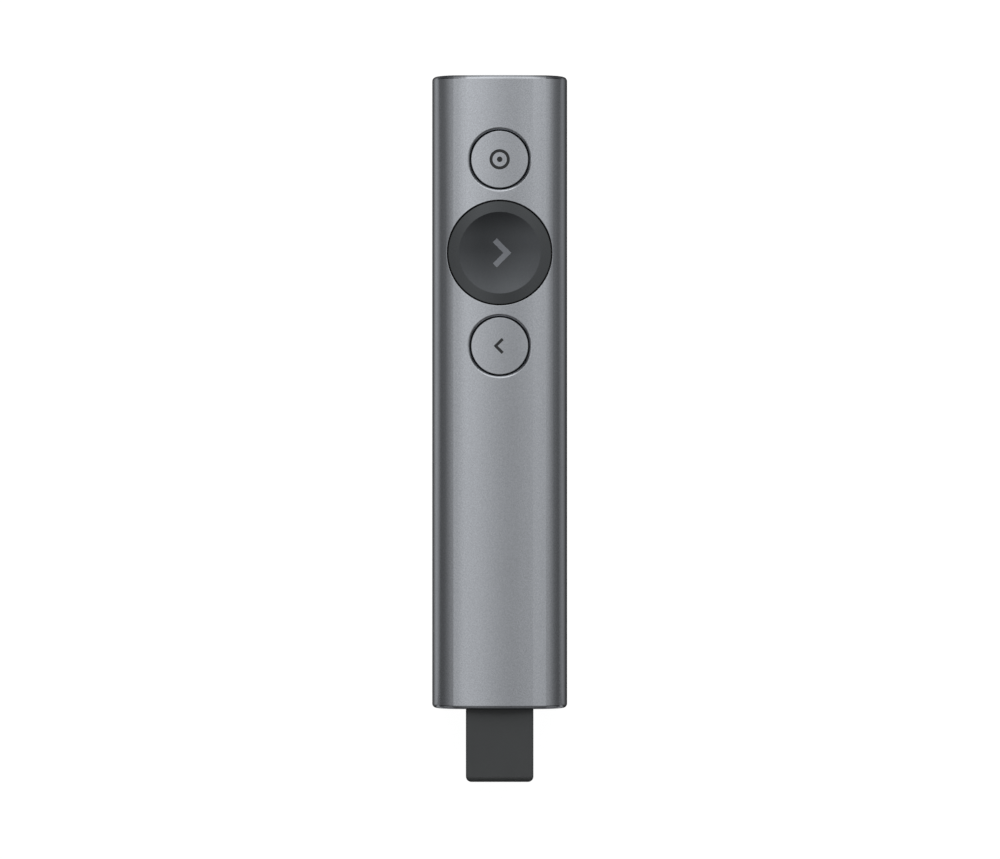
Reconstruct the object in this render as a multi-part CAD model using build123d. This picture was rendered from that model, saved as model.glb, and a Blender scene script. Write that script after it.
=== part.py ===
from build123d import *
import math
import os

# A slim wireless presentation clicker: a flattened aluminium tube with three round buttons on its
# crown and a small USB receiver docked in its tail. All sizes are in millimetres. +Z points out of
# the button side, +Y points to the nose, and the origin is the middle of the flat back.

# ---------------------------------------------------------------- outer tube
body_length = 131.3
body_width = 28.1
body_height = 12.1
crown_radius = 80.0  # the button side is almost flat
crown_reach = 6.9  # how far from the middle line it stays so flat
turn_radius = 26.0  # of the softer arc that leads from there to the shoulders
side_height = 6.0  # height of the widest line, and the radius of the two lower corners
wall = 1.2
end_fillet = 0.8
cap_recess = 0.3  # the end caps sit this far inside the tube's ends
cap_thickness = 2.0
cap_edge_fillet = 0.2
bond_gap = 0.05  # between parts that are glued or snapped together
sled_gap = 0.2  # between the tube's bore and the parts that slide into it

# ---------------------------------------------------------------- buttons
nose_to_pointer = 17.5  # from the nose end to the middle of the first button
button_pitch = 19.3
button_travel = 0.35
small_cap_radius = 5.9
small_cap_gap = 0.15  # the open ring around a small cap
small_rim_fillet = 0.62
small_cap_fillet = 0.1
next_cap_radius = 10.65
next_cap_gap = 0.25
next_rim_fillet = 0.1
next_cap_fillet = 0.07
next_crest_across = 55.0  # radii of the large button's crowned face, across the body and along it
next_crest_along = 200.0
next_dish_along = 40.0  # the dish's radius along the body; its round rim settles the one across
next_stand_out = 0.15  # the large button's crest stands this far over the crown
dish_margin = 2.2  # the plain ring around the large button's dish
icon_depth = 0.3
icon_ring_radius = 2.1
icon_ring_stroke = 0.62
icon_dot_radius = 0.57
next_arrow_arm = 4.25
next_arrow_stroke = 1.16
next_arrow_shift = 0.5  # to the right of the button's middle
back_arrow_arm = 2.35
back_arrow_stroke = 0.6
back_arrow_shift = -0.2

# ---------------------------------------------------------------- button carriers and their frame
carrier_thickness = 0.8
carrier_head_room = 0.18  # between a small carrier's lugs and the tube's inner crown
small_flange_overlap = 0.7  # how far a small carrier's flange reaches under the hole's edge
small_lug_length = 0.7
small_lug_width = 2.4
small_boss_inset = 0.4
small_boss_height = 0.4
next_carrier_inset = 0.35
next_ear_overlap = 0.9
next_ear_width = 10.0
stem_radius = 2.0
well_gap = 0.3  # around a carrier in its well
stem_gap = 0.4
under_travel_gap = 0.2  # left under a carrier when its button is fully pressed
frame_plate = 1.0
frame_rim_drop = 0.15  # the frame's top lies this far under the carriers' top
frame_tail_reach = 12.3  # from the middle of the last button to the frame's tail end
frame_nose_margin = 2.75  # from the frame's nose end to the nose cap
keymat_thickness = 0.7
keymat_margin = 1.1  # from the board's edge to the key mat's edge
keymat_hole_gap = 0.3
key_post_height = 0.8

# ---------------------------------------------------------------- tact switches
switch_side = 4.4
switch_height = 1.4
switch_floor = 0.2
switch_lid = 0.3
switch_cavity_radius = 1.6
plunger_radius = 0.8
plunger_stand_out = 0.5
plunger_gap = 0.1
plunger_flange_radius = 1.2
plunger_flange_height = 0.18
dome_radius = 1.45
dome_height = 0.55
dome_sheet = 0.08
dome_gap = 0.02

# ---------------------------------------------------------------- chassis and main board
chassis_sheet = 1.0
chassis_end_gap = 0.25
board_thickness = 0.8
board_edge_gap = 0.33  # between the board's edge and the chassis outline at that height
board_tail_margin = 0.4  # the board reaches this far past the frame's tail end
board_nose_margin = 2.55  # from the board's nose end to the nose cap
screw_edge_distance = 3.5  # from the board's edge to the screws
stack_screw_from_button = 9.4  # from the outer buttons' middles to the outer screws
stack_boss_radius = 2.0
stack_post_radius = 1.5
stack_screw_radius = 0.8
stack_screw_bite = 1.8  # thread length in the frame's posts
screw_clearance = 0.1
screw_head_radius = 1.4
screw_head_height = 0.8
screw_head_sink = 0.4  # the heads lie this deep, clear of the tube's round lower corners
screw_cross_width = 0.35
screw_cross_length = 1.5
screw_cross_depth = 0.35

# ---------------------------------------------------------------- main board parts
shield_size = (10.0, 8.6, 1.4)
shield_sheet = 0.2
radio_chip_side = 5.0
radio_chip_height = 0.85
memory_chip_side = 2.4
memory_chip_height = 0.6
chip_offset = 2.2
antenna_size = (3.2, 1.6, 1.1)
antenna_post_gap = 0.9  # from the ceramic antenna to the frame's post beside it
antenna_nose_margin = 1.8
passive_size = (1.0, 0.5, 0.4)
passive_pitch = 1.1
passives_in_row = 5
passive_row_x = 7.4
crystal_size = (2.5, 2.0, 0.6)

# ---------------------------------------------------------------- battery
battery_side_gap = 0.05  # between the cell's edge and the end of the flat floor
battery_thickness = 3.4
battery_board_gap = 2.5  # from the tail board to the cell
battery_motor_gap = 4.2  # from the cell to the motor, with room for the guard and the motor's wires
battery_fillet = 1.0
battery_guard_size = (12.0, 1.6, 1.2)  # the small protection board at the cell's nose end
foam_thickness = 0.4
foam_margin = 1.0
lead_radius = 0.3
lead_half_pitch = 0.6
lead_bend = 1.4
socket_size = (3.8, 4.0, 1.6)
socket_set_back = 3.4  # from the board's tail end to the socket's mouth
socket_post_gap = 0.2
socket_wall = 0.45
socket_floor = 0.3
socket_depth = 2.6
plug_gap = 0.05
plug_stand_out = 2.2

# ---------------------------------------------------------------- vibration motor
motor_radius = 2.0
motor_length = 7.0
motor_board_gap = 4.4  # from the motor's nose end to the main board
motor_boot_sheet = 0.6
motor_boot_margin = 0.8
motor_shaft_radius = 0.4
motor_shaft_gap = 0.05
motor_shaft_grip = 2.5  # shaft length inside the motor
motor_shaft_length = 5.7
weight_radius = 2.5
weight_hub_radius = 0.9
weight_length = 2.5
weight_gap = 0.5
cradle_floor = 0.4
cradle_half_width = 3.0
cradle_margin = 1.2
cradle_height = 2.5
motor_wire_radius = 0.25
motor_wire_x = 3.2
motor_wire_start_x = 0.8
motor_wire_back = 1.2
motor_wire_bend = 0.6
motor_wire_landing = 1.0  # wire length on the main board

# ---------------------------------------------------------------- tail board and charging port
port_width = 8.94
port_height = 3.2
port_depth = 7.5
port_sheet = 0.3
port_recess = 0.25
port_wing_reach = 1.1
port_wing_length = 3.0
port_tongue_width = 6.7
port_tongue_height = 0.7
port_tongue_set_back = 0.7
port_base_length = 1.4
port_cut_gap = 0.15
tail_board_pillar_gap = 0.1
tail_board_reach = 17.85  # from the tail cap to the tail board's nose end
tail_board_wide_length = 6.3
tail_board_edge_gap = 0.25  # between the wide stretch and the end of the flat floor
tail_screw_inset = 1.4
tail_screw_set_back = 1.8
small_screw_radius = 0.7
small_head_radius = 1.2
small_head_height = 0.6
charger_chip_size = (3.0, 3.0, 0.8)
coil_size = (2.6, 2.2, 1.1)
flex_width = 3.0
flex_thickness = 0.15
flex_x = -5.4
flex_pad_length = 2.2
flex_climb = 2.1
flex_bend = 0.6
flex_hop = 0.3  # the flex passes at least this far over the main board's edge

# ---------------------------------------------------------------- receiver and its dock
usb_plug_width = 12.0
usb_plug_height = 4.5
usb_plug_length = 12.0
usb_sheet = 0.3
usb_window = 2.2
usb_window_half_pitch = 3.0
usb_window_from_tip = 5.2
usb_tongue_height = 1.9
usb_contact_width = 1.0
usb_contact_pitch = 2.25
usb_contact_thickness = 0.15
usb_contact_length = 7.5
usb_embed = 3.2  # shell length held inside the grip
dock_gap = 0.1
dock_sheet = 0.4
dock_over_port = 0.15
dock_end_gap = 0.2
dock_ear_reach = 2.7
dock_ear_length = 3.4
dock_ear_thickness = 0.8
dock_screw_offset = 1.4  # from the sleeve's side to the screws
dock_screws_from_cap = (2.35, 8.35)
dock_pillar_radius = 1.6
dock_spring_width = 1.8
dock_spring_length = 7.0
dock_spring_half_pitch = 2.8
dock_spring_sheet = 0.2
dock_spring_lift = 0.03
dock_spring_from_front = 1.6
dock_spring_slot_gap = 0.15
grip_width = 14.0
grip_height = 6.0
grip_stand_out = 15.2
grip_long_fillet = 0.5
grip_end_fillet = 1.2
grip_root_fillet = 0.3
grip_board_size = (11.0, 10.4, 0.8)
grip_pocket_gap = 0.1
grip_pocket_height = 3.4
radio_key_chip_size = (4.0, 4.0, 0.8)

# ---------------------------------------------------------------- derived places
half_length = body_length / 2
half_width = body_width / 2
crown_center_z = body_height - crown_radius
crown_lean = math.degrees(math.asin(crown_reach / crown_radius))
turn_x = crown_reach * (1 - turn_radius / crown_radius)
turn_z = crown_center_z + (crown_radius - turn_radius) * math.cos(math.radians(crown_lean))
turn_drop = side_height - turn_z
turn_width = half_width - turn_x
shoulder_radius = (turn_radius**2 - turn_width**2 - turn_drop**2) / (2 * (turn_radius - turn_width))
shoulder_x = half_width - shoulder_radius
shoulder_lean = math.degrees(math.atan2(shoulder_x - turn_x, turn_drop))
lower_x = half_width - side_height

small_hole_radius = small_cap_radius + small_cap_gap
small_carrier_radius = small_hole_radius + small_flange_overlap
small_lug_reach = small_carrier_radius + small_lug_length
small_boss_radius = small_cap_radius - small_boss_inset
next_hole_radius = next_cap_radius + next_cap_gap
next_carrier_radius = next_cap_radius - next_carrier_inset
next_ear_reach = next_hole_radius + next_ear_overlap
dish_radius = next_cap_radius - dish_margin

nose_cap_y = half_length - cap_recess - cap_thickness
tail_face_y = -half_length + cap_recess
tail_cap_y = tail_face_y + cap_thickness

pointer_y = half_length - nose_to_pointer
next_y = pointer_y - button_pitch
back_y = next_y - button_pitch
button_ys = {"pointer": pointer_y, "next": next_y, "back": back_y}


def crown_z(x, inset):
    """Height of the crown, or of the surface that lies inset under it, at x."""
    if x > crown_reach * (1 - inset / crown_radius):
        return turn_z + math.sqrt((turn_radius - inset) ** 2 - (x - turn_x) ** 2)
    return crown_center_z + math.sqrt((crown_radius - inset) ** 2 - x**2)


def sag(radius, reach):
    """How far an arc has left its tangent line at a distance from where they touch."""
    return radius - math.sqrt(radius**2 - reach**2)


def half_width_at(z, inset):
    """Half the width, at a height under the widest line, of the section moved inwards by inset."""
    return lower_x + math.sqrt((side_height - inset) ** 2 - (side_height - z) ** 2)


carrier_top = crown_z(small_lug_reach, wall) - carrier_head_room
carrier_bottom = carrier_top - carrier_thickness
small_cap_bottom = carrier_top + small_boss_height
frame_top = carrier_top - frame_rim_drop
frame_plate_top = carrier_bottom - button_travel - under_travel_gap
frame_bottom = frame_plate_top - frame_plate
frame_nose_end = nose_cap_y - frame_nose_margin
frame_tail_end = back_y - frame_tail_reach
keymat_bottom = frame_bottom - keymat_thickness
plunger_top = keymat_bottom
switch_top = plunger_top - plunger_stand_out
board_top = switch_top - switch_height
board_bottom = board_top - board_thickness
board_nose_end = nose_cap_y - board_nose_margin
board_tail_end = frame_tail_end - board_tail_margin
board_half_width = half_width_at(board_bottom, wall + sled_gap) - board_edge_gap
keymat_half_width = board_half_width - keymat_margin
screw_x = board_half_width - screw_edge_distance
stack_screw_ys = (back_y - stack_screw_from_button, next_y, pointer_y + stack_screw_from_button)
stem_bottom = plunger_top + key_post_height

chassis_bottom = wall + sled_gap
floor_top = chassis_bottom + chassis_sheet
chassis_half_length = half_length - cap_recess - cap_thickness - chassis_end_gap

motor_z = floor_top + cradle_floor + motor_radius + motor_boot_sheet
motor_nose_end = board_tail_end - motor_board_gap
motor_tail_end = motor_nose_end - motor_length
motor_wire_end = board_tail_end + motor_wire_landing
weight_start = motor_nose_end + weight_gap

tail_board_nose_end = tail_cap_y + tail_board_reach
tail_board_wide_start = tail_board_nose_end - tail_board_wide_length
tail_board_wide_half_width = lower_x - tail_board_edge_gap
tail_screw_x = tail_board_wide_half_width - tail_screw_inset
tail_screw_y = tail_board_wide_start + tail_screw_set_back

battery_bottom = floor_top + foam_thickness
battery_top = battery_bottom + battery_thickness
battery_tail_end = tail_board_nose_end + battery_board_gap
battery_nose_end = motor_tail_end - battery_motor_gap
battery_width = 2 * (lower_x - battery_side_gap)
battery_middle_z = battery_bottom + battery_thickness / 2
guard_nose_end = battery_nose_end + battery_guard_size[1]
socket_middle_z = board_top + socket_size[2] / 2
socket_tail_end = board_tail_end + socket_set_back
plug_tail_end = socket_tail_end - plug_stand_out
lead_x = screw_x - stack_post_radius - socket_post_gap - socket_size[0] / 2
antenna_x = screw_x - stack_post_radius - antenna_post_gap - antenna_size[0] / 2

tail_board_top = floor_top + board_thickness
port_z = tail_board_top
port_front = tail_face_y + port_recess
port_back = port_front + port_depth

dock_bottom = port_z + port_height / 2 + dock_over_port
dock_half_width = usb_plug_width / 2 + dock_gap + dock_sheet
dock_screw_x = dock_half_width + dock_screw_offset
dock_screw_ys = [tail_cap_y + distance for distance in dock_screws_from_cap]
tail_board_half_width = dock_screw_x - dock_pillar_radius - tail_board_pillar_gap
dock_inner_height = usb_plug_height + 2 * dock_gap
dock_z = dock_bottom + dock_sheet + dock_inner_height / 2
dock_top = dock_bottom + 2 * dock_sheet + dock_inner_height
grip_root_y = tail_face_y - bond_gap
plug_tip_y = grip_root_y + usb_plug_length
dock_nose_end = plug_tip_y + dock_end_gap + dock_sheet
grip_end_y = -half_length - grip_stand_out
shell_tail_end = grip_root_y - usb_embed
tongue_bottom = dock_z - usb_plug_height / 2 + usb_sheet
tongue_top = tongue_bottom + usb_tongue_height
tongue_tail_end = shell_tail_end - bond_gap


# ---------------------------------------------------------------- shared shapes
def around(middle, size):
    """The limits of a length that is centred on a place."""
    return middle - size / 2, middle + size / 2


def block(x_span, y_span, z_span):
    """A box between two limits on each axis."""
    spans = (x_span, y_span, z_span)
    middle = [(low + high) / 2 for low, high in spans]
    size = [high - low for low, high in spans]
    return Pos(*middle) * Box(*size)


def disc(radius, z_low, z_high, x=0.0, y=0.0):
    """An upright cylinder."""
    upright = Cylinder(radius, z_high - z_low, align=(Align.CENTER, Align.CENTER, Align.MIN))
    return Pos(x, y, z_low) * upright


def rod(radius, y_low, y_high, x, z):
    """A cylinder that lies along Y."""
    lying = Cylinder(radius, y_high - y_low, align=(Align.CENTER, Align.CENTER, Align.MIN))
    return Pos(x, y_low, z) * Rot(-90, 0, 0) * lying


def along_y(profile, y_low, y_high):
    """A profile drawn in X and Z, drawn out between two places along Y."""
    return extrude(Plane.XZ.offset(-y_high) * profile, y_high - y_low)


def section(inset):
    """The tube's cross-section, moved inwards by inset: flat back, round sides, shallow crown."""
    low = side_height - inset
    shoulder = shoulder_radius - inset
    turn = turn_radius - inset
    turn_sweep = shoulder_lean - crown_lean
    outline = [
        Line((-lower_x, inset), (lower_x, inset)),
        CenterArc((lower_x, side_height), low, -90, 90),
        CenterArc((shoulder_x, side_height), shoulder, 0, 90 - shoulder_lean),
        CenterArc((turn_x, turn_z), turn, 90 - shoulder_lean, turn_sweep),
        CenterArc((0, crown_center_z), crown_radius - inset, 90 - crown_lean, 2 * crown_lean),
        CenterArc((-turn_x, turn_z), turn, 90 + crown_lean, turn_sweep),
        CenterArc((-shoulder_x, side_height), shoulder, 90 + shoulder_lean, 90 - shoulder_lean),
        CenterArc((-lower_x, side_height), low, 180, 90),
    ]
    return make_face(Curve() + outline)


def layer(inset, y_low, y_high, z_low, z_high):
    """What the tube's section, moved inwards by inset, holds between two heights."""
    slice_ = block((-body_width, body_width), (y_low, y_high), (z_low, z_high))
    return along_y(section(inset), y_low, y_high) & slice_


def cross_head_screw(x, y, z_seat, head, shank_radius, shank_end, up):
    """A screw whose head sits on z_seat, with its shank pointing up or down to shank_end."""
    head_radius, head_height = head
    way = 1 if up else -1
    outer = z_seat - way * head_height
    screw = disc(head_radius, min(z_seat, outer), max(z_seat, outer), x, y)
    screw += disc(shank_radius, min(z_seat, shank_end), max(z_seat, shank_end), x, y)
    slot_z = (min(outer, outer + way * screw_cross_depth), max(outer, outer + way * screw_cross_depth))
    screw -= block(around(x, screw_cross_length), around(y, screw_cross_width), slot_z)
    screw -= block(around(x, screw_cross_width), around(y, screw_cross_length), slot_z)
    return screw


def wire(points, bend, radius):
    """A round wire along straight runs joined by arcs."""
    path = FilletPolyline(*points, radius=bend)
    start = Plane(origin=path @ 0, z_dir=path % 0)
    return sweep(start * Circle(radius), path)


# ---------------------------------------------------------------- tube and end caps
def button_hole(name):
    """The upright hole for one button, from under the wall to over the crown."""
    radius = next_hole_radius if name == "next" else small_hole_radius
    return disc(radius, side_height + wall, body_height + 1, y=button_ys[name])


def rim_edges(solid, name):
    """The edges where a button's hole comes out of the crown."""
    radius = next_hole_radius if name == "next" else small_hole_radius
    middle = Vector(0, button_ys[name])

    def on_rim(edge):
        samples = [edge @ share for share in (0.0, 0.5, 1.0)]
        level = all(p.Z > side_height + 2 * wall for p in samples)
        return level and all(abs((Vector(p.X, p.Y) - middle).length - radius) < 0.01 for p in samples)

    return solid.edges().filter_by(on_rim)


def tube_housing():
    """The aluminium tube, with its end edges rounded and the three button holes in the crown."""
    tube = along_y(section(0), -half_length, half_length)
    end_faces = tube.faces().sort_by(Axis.Y)
    end_edges = end_faces[0].edges() + end_faces[-1].edges()
    tube = fillet(end_edges, end_fillet)
    for name in button_ys:
        tube -= button_hole(name)
    for name in button_ys:
        rim = next_rim_fillet if name == "next" else small_rim_fillet
        tube = fillet(rim_edges(tube, name), rim)
    return tube - along_y(section(wall), -half_length - wall, half_length + wall)


def nose_cap():
    """The plastic plate that closes the nose and lets the radio through."""
    plate = along_y(section(wall + bond_gap), nose_cap_y, nose_cap_y + cap_thickness)
    return fillet(plate.faces().sort_by(Axis.Y)[-1].edges(), cap_edge_fillet)


def tail_cap():
    """The plastic plate at the tail, open for the charging port and the receiver's plug."""
    plate = along_y(section(wall + bond_gap), tail_face_y, tail_cap_y)
    plate = fillet(plate.faces().sort_by(Axis.Y)[0].edges(), cap_edge_fillet)
    port_slot = SlotOverall(port_width + 2 * bond_gap, port_height + 2 * bond_gap)
    plate -= along_y(Pos(0, port_z) * port_slot, tail_face_y - 1, tail_cap_y + 1)
    mouth = Rectangle(2 * (dock_half_width - dock_sheet), dock_inner_height)
    return plate - along_y(Pos(0, dock_z) * mouth, tail_face_y - 1, tail_cap_y + 1)


# ---------------------------------------------------------------- icons
def arrow(arm, stroke, direction):
    """A right-angled arrow head that points along +X or -X, centred on its own box."""
    elbow = Polygon((0, 0), (arm, 0), (arm, stroke), (stroke, stroke), (stroke, arm), (0, arm), align=None)
    turned = Rot(0, 0, 135 if direction > 0 else -45) * elbow
    reach = (arm + stroke) / math.sqrt(2)
    return Pos(direction * reach / 2, 0) * turned


def icon_sketch(name):
    """The mark inlaid in one button."""
    if name == "pointer":
        ring = Circle(icon_ring_radius) - Circle(icon_ring_radius - icon_ring_stroke)
        return ring + Circle(icon_dot_radius)
    if name == "next":
        return Pos(next_arrow_shift, 0) * arrow(next_arrow_arm, next_arrow_stroke, 1)
    return Pos(back_arrow_shift, 0) * arrow(back_arrow_arm, back_arrow_stroke, -1)


def inlay(cap, name, surface_z):
    """One cap split into the cap with a pocket and the mark that fills it."""
    floor_z = surface_z - icon_depth
    mark = extrude(Pos(0, button_ys[name], floor_z) * icon_sketch(name), body_height)
    return cap - mark, cap & mark


# ---------------------------------------------------------------- buttons
def small_cap(name):
    """A small round cap that continues the tube's crown, and its mark."""
    y = button_ys[name]
    blank = disc(small_cap_radius, small_cap_bottom, body_height + 1, y=y)
    cap = blank & along_y(section(0), y - next_hole_radius, y + next_hole_radius)
    cap = fillet(cap.edges().group_by(Axis.Z)[-1], small_cap_fillet)
    return inlay(cap, name, body_height)


def next_cap():
    """The large cap: a face crowned both ways, with a dish in it whose rim is round seen from above."""
    crest_z = body_height + next_stand_out
    dish_depth = sag(next_crest_along, dish_radius) + sag(next_dish_along, dish_radius)
    dish_side_sag = dish_depth - sag(next_crest_across, dish_radius)
    next_dish_across = (dish_radius**2 + dish_side_sag**2) / (2 * dish_side_sag)
    crown = Rot(0, 90, 0) * Torus(next_crest_along - next_crest_across, next_crest_across)
    hollow = Rot(90, 0, 0) * Torus(next_dish_across - next_dish_along, next_dish_along)

    cap = disc(next_cap_radius, carrier_top, body_height + 1, y=next_y)
    cap &= Pos(0, next_y, crest_z - next_crest_along) * crown
    rim = cap.edges().filter_by(lambda edge: (edge @ 0.5).Z > carrier_top + dome_sheet)
    rim = rim.filter_by(GeomType.LINE, reverse=True)
    cap = fillet(rim, next_cap_fillet)
    dish_z = crest_z - dish_depth
    cap -= Pos(0, next_y, dish_z + next_dish_across) * hollow
    return inlay(cap, "next", dish_z)


def carrier_stem(y):
    """The round stem that hands a carrier's travel to the key post under it."""
    return disc(stem_radius, stem_bottom, carrier_bottom, y=y)


def small_carrier(name):
    """The plastic carrier of a small cap: a flange under the wall, two lugs, a boss and a stem."""
    y = button_ys[name]
    carrier = disc(small_carrier_radius, carrier_bottom, carrier_top, y=y)
    lugs = (-small_lug_reach, small_lug_reach)
    carrier += block(lugs, around(y, small_lug_width), (carrier_bottom, carrier_top))
    carrier += disc(small_boss_radius, carrier_top, small_cap_bottom, y=y)
    return carrier + carrier_stem(y)


def next_carrier():
    """The plastic carrier of the large cap, with two ears that reach under the wall."""
    carrier = disc(next_carrier_radius, carrier_bottom, carrier_top, y=next_y)
    ears = disc(next_ear_reach, carrier_bottom, carrier_top, y=next_y)
    ears &= block(around(0, next_ear_width), around(next_y, body_length), (carrier_bottom, carrier_top))
    return carrier + ears + carrier_stem(next_y)


def key_post(name):
    """The silicone key under one stem."""
    return disc(stem_radius, plunger_top, stem_bottom, y=button_ys[name])


# ---------------------------------------------------------------- frame and key mat
def carrier_well(name):
    """The room that one carrier needs in the frame."""
    y = button_ys[name]
    depth = (frame_plate_top, frame_top + 1)
    if name == "next":
        across = block((-body_width, body_width), around(y, 2 * (next_carrier_radius + well_gap)), depth)
        between_wells = block(around(0, next_ear_width + 2 * well_gap), (back_y, pointer_y), depth)
        return across + between_wells
    well = disc(small_carrier_radius + well_gap, *depth, y=y)
    lug_reach = small_lug_reach + well_gap
    return well + block((-lug_reach, lug_reach), around(y, small_lug_width + 2 * well_gap), depth)


def button_frame():
    """The plastic frame that guides the carriers, on six posts that stand on the main board."""
    frame = layer(wall + sled_gap, frame_tail_end, frame_nose_end, frame_bottom, frame_top)
    for name, y in button_ys.items():
        frame -= carrier_well(name)
        frame -= disc(stem_radius + stem_gap, frame_bottom - 1, frame_top + 1, y=y)
    for x, y in stack_places():
        frame += disc(stack_post_radius, board_top, frame_bottom, x, y)
        frame -= disc(stack_screw_radius, board_top, board_top + stack_screw_bite, x, y)
    return frame


def keymat():
    """The silicone sheet under the frame, with a hole for each post and each key."""
    sides = (-keymat_half_width, keymat_half_width)
    sheet = block(sides, (frame_tail_end, frame_nose_end), (keymat_bottom, frame_bottom))
    for y in button_ys.values():
        sheet -= disc(stem_radius + keymat_hole_gap, keymat_bottom - 1, frame_bottom + 1, y=y)
    for x, y in stack_places():
        sheet -= disc(stack_post_radius + keymat_hole_gap, keymat_bottom - 1, frame_bottom + 1, x, y)
    return sheet


def stack_places():
    """Where the six screws hold chassis, main board and frame together."""
    return [(x, y) for y in stack_screw_ys for x in (-screw_x, screw_x)]


def stack_screws():
    """Six screws, put in from under the chassis."""
    head = (screw_head_radius, screw_head_height)
    seat = chassis_bottom + screw_head_sink + screw_head_height
    end = board_top + stack_screw_bite - screw_clearance
    return [cross_head_screw(x, y, seat, head, stack_screw_radius, end, True) for x, y in stack_places()]


# ---------------------------------------------------------------- switches
def tact_switches():
    """Three switch housings, each with a round cavity and a hole in its lid."""
    housings = []
    for y in button_ys.values():
        housing = block(around(0, switch_side), around(y, switch_side), (board_top, switch_top))
        housing -= disc(switch_cavity_radius, board_top + switch_floor, switch_top - switch_lid, y=y)
        housing -= disc(plunger_radius + plunger_gap, switch_top - switch_lid, switch_top, y=y)
        housings.append(housing)
    return housings


def switch_dome(name):
    """The thin spring dome on a switch's floor."""
    base = board_top + switch_floor
    radius = (dome_radius**2 + dome_height**2) / (2 * dome_height)
    shell = Sphere(radius) - Sphere(radius - dome_sheet)
    shell = Pos(0, button_ys[name], base + dome_height - radius) * shell
    return shell & disc(switch_cavity_radius, base, base + 2 * dome_height, y=button_ys[name])


def switch_plunger(name):
    """The pin that comes out of a switch's lid, with a flange that holds it in."""
    y = button_ys[name]
    bottom = board_top + switch_floor + dome_height + dome_gap
    flange = disc(plunger_flange_radius, bottom, bottom + plunger_flange_height, y=y)
    return flange + disc(plunger_radius, bottom, plunger_top, y=y)


# ---------------------------------------------------------------- chassis
def chassis():
    """The channel that carries everything and slides into the tube."""
    outer = wall + sled_gap
    rails = section(outer) - section(outer + chassis_sheet)
    channel = along_y(rails, -chassis_half_length, chassis_half_length)
    below_board = block(
        (-body_width, body_width), (-chassis_half_length, chassis_half_length), (0, board_bottom)
    )
    channel &= below_board
    for x, y in stack_places():
        channel += disc(stack_boss_radius, chassis_bottom, board_bottom, x, y)
    for x, y in dock_places():
        channel += disc(dock_pillar_radius, chassis_bottom, dock_bottom, x, y)
    channel &= along_y(section(outer), -chassis_half_length, chassis_half_length)
    seat = chassis_bottom + screw_head_sink + screw_head_height
    for x, y in stack_places():
        channel -= disc(stack_screw_radius + screw_clearance, chassis_bottom, board_bottom, x, y)
        channel -= disc(screw_head_radius + screw_clearance, 0, seat, x, y)
    for x, y in dock_places():
        channel -= disc(small_screw_radius, floor_top, dock_bottom, x, y)
    for x in (-tail_screw_x, tail_screw_x):
        channel -= disc(small_screw_radius, chassis_bottom, floor_top, x, tail_screw_y)
    port_cut = around(0, port_width + 2 * port_cut_gap)
    channel -= block(port_cut, (-half_length, port_back + port_cut_gap), (0, dock_bottom))
    return channel + motor_cradle()


def motor_cradle():
    """The saddle on the chassis floor that holds the motor's boot."""
    y_span = (motor_tail_end + cradle_margin, motor_nose_end - cradle_margin)
    x_span = (-cradle_half_width, cradle_half_width)
    saddle = block(x_span, y_span, (floor_top, floor_top + cradle_height))
    return saddle - rod(motor_radius + motor_boot_sheet, *y_span, 0, motor_z)


# ---------------------------------------------------------------- main board
def main_board():
    """The printed circuit board under the buttons."""
    sides = (-board_half_width, board_half_width)
    board = block(sides, (board_tail_end, board_nose_end), (board_bottom, board_top))
    for x, y in stack_places():
        board -= disc(stack_screw_radius + screw_clearance, board_bottom, board_top, x, y)
    return board


def shield_y():
    """The shield can stands midway between the first two buttons."""
    return (pointer_y + next_y) / 2


def shield_can():
    """The folded steel cover over the radio chips."""
    width, length, height = shield_size
    y = shield_y()
    can = block(around(0, width), around(y, length), (board_top, board_top + height))
    room_x = around(0, width - 2 * shield_sheet)
    room_y = around(y, length - 2 * shield_sheet)
    return can - block(room_x, room_y, (board_top, board_top + height - shield_sheet))


def main_chips():
    """The radio chip and the memory chip under the shield can."""
    y = shield_y()
    radio = block(
        around(-chip_offset, radio_chip_side),
        around(y, radio_chip_side),
        (board_top, board_top + radio_chip_height),
    )
    memory = block(
        around(chip_offset + memory_chip_side / 2, memory_chip_side),
        around(y, memory_chip_side),
        (board_top, board_top + memory_chip_height),
    )
    return [radio, memory]


def chip_antenna():
    """The ceramic antenna at the board's nose end."""
    length, width, height = antenna_size
    y = board_nose_end - antenna_nose_margin
    return block(around(antenna_x, length), around(y, width), (board_top, board_top + height))


def board_passives():
    """Rows of small resistors and capacitors beside the switches, and the radio's crystal."""
    length, width, height = passive_size
    rows = []
    for y_middle in (pointer_y, next_y, back_y):
        for side in (-1, 1):
            for step in range(passives_in_row):
                y = y_middle + (step - (passives_in_row - 1) / 2) * passive_pitch
                x_span = around(side * passive_row_x, length)
                rows.append(block(x_span, around(y, width), (board_top, board_top + height)))
    crystal_y = (next_y + back_y) / 2
    x_span = around(0, crystal_size[0])
    z_span = (board_top, board_top + crystal_size[2])
    rows.append(block(x_span, around(crystal_y, crystal_size[1]), z_span))
    return [part for part in rows if clear_of_posts(part)]


def clear_of_posts(part):
    """Whether a part on the board stands clear of the frame's posts."""
    box = part.bounding_box()
    reach = stack_post_radius + screw_clearance
    for x, y in stack_places():
        near_x = box.min.X - reach < x < box.max.X + reach
        near_y = box.min.Y - reach < y < box.max.Y + reach
        if near_x and near_y:
            return False
    return True


# ---------------------------------------------------------------- battery
def battery_foam():
    """The foam tape that holds the cell on the chassis floor."""
    x_span = around(0, battery_width - 2 * foam_margin)
    y_span = (battery_tail_end + foam_margin, battery_nose_end - foam_margin)
    return block(x_span, y_span, (floor_top, battery_bottom))


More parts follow.
